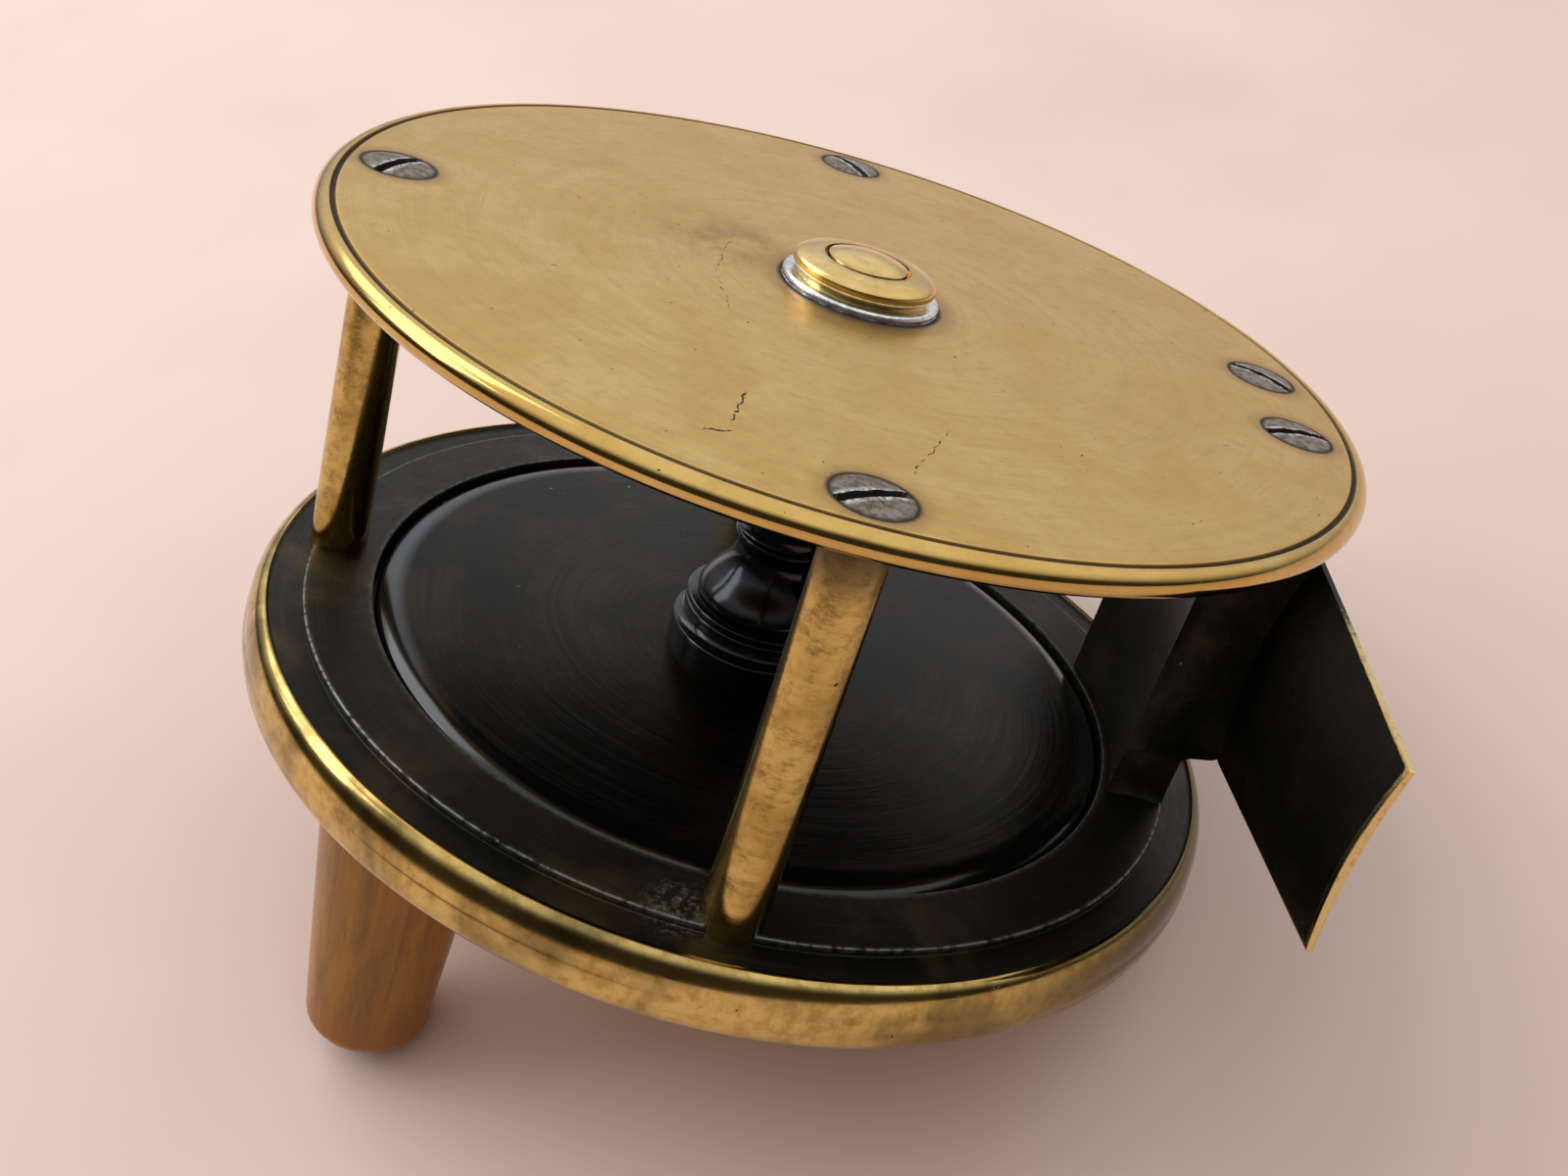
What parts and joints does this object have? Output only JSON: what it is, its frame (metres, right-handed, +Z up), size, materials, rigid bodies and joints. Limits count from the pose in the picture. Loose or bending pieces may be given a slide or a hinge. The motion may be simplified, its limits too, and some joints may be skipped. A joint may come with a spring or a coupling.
{
  "type": "plate-wind fishing reel",
  "caption": "Brass plate-wind fishing reel with a pillared cage, revolving winding plate, tapered horn handle and long rod foot, lying on its handle.",
  "frame": {"origin": "middle of the reel's box on the surface it lies on", "axes": "+Z up from the surface that the reel lies on; +X from the handle's side of the reel to the other side, with the spindle leaning over towards +X"},
  "size_m": [0.1286, 0.1178, 0.081],
  "materials": {
    "plate_brass": "worn, mellow golden brown with fine turning marks",
    "rim_brass": "handled bright on the rim, dark bronze inside",
    "black_brass": "blackened bronze, satin",
    "pillar_brass": "rubbed brass with dark specks",
    "boss_brass": "polished",
    "screw_steel": "browned steel",
    "washer_steel": "bright, slightly blued",
    "spindle_steel": "turned",
    "spring_steel": "blued",
    "horn": "buffalo horn, semi-gloss, streaked"
  },
  "bodies": {
    "root": {"back_plate": "plate_brass", "front_plate": "rim_brass", "pillar_1": "pillar_brass", "pillar_2": "pillar_brass", "pillar_3": "pillar_brass", "pillar_screws": "screw_steel", "foot_screws_back": "screw_steel", "foot_screws_front": "screw_steel", "foot": "black_brass", "foot_bracket": "black_brass", "foot_rivets": "rim_brass", "boss_washer": "washer_steel", "back_bush": "boss_brass", "boss_cap": "boss_brass", "front_bush": "boss_brass", "check_pawl_screw": "screw_steel", "check_spring": "spring_steel", "check_spring_screws": "screw_steel"},
    "spool": {"spindle": "spindle_steel", "spool_arbor": "black_brass", "spool_front_flange": "black_brass", "spool_rear_flange": "black_brass", "flange_pins": "spindle_steel", "check_wheel": "spindle_steel", "winding_plate": "rim_brass", "winding_plate_nut": "boss_brass", "handle_washer": "boss_brass", "handle_peg": "spindle_steel", "handle_end_washer": "boss_brass"},
    "grip": {"handle_grip": "horn"},
    "pawl": {"check_pawl": "spindle_steel"}
  },
  "joints": [
    {"name": "spool_spin", "type": "hinge", "parent": "root", "child": "spool", "pos_m": [-0.00092, 0.00703, 0.04414], "axis": [0.3567, 0, 0.9342], "continuous": true},
    {"name": "grip_spin", "type": "hinge", "parent": "spool", "child": "grip", "pos_m": [-0.05346, 0.00703, 0.01641], "axis": [0.3567, 0, 0.9342], "continuous": true},
    {"name": "pawl_swing", "type": "hinge", "parent": "root", "child": "pawl", "pos_m": [-0.00719, 0.00601, 0.06404], "axis": [0.3567, 0, 0.9342], "range_deg": [-2, 2]}
  ]
}
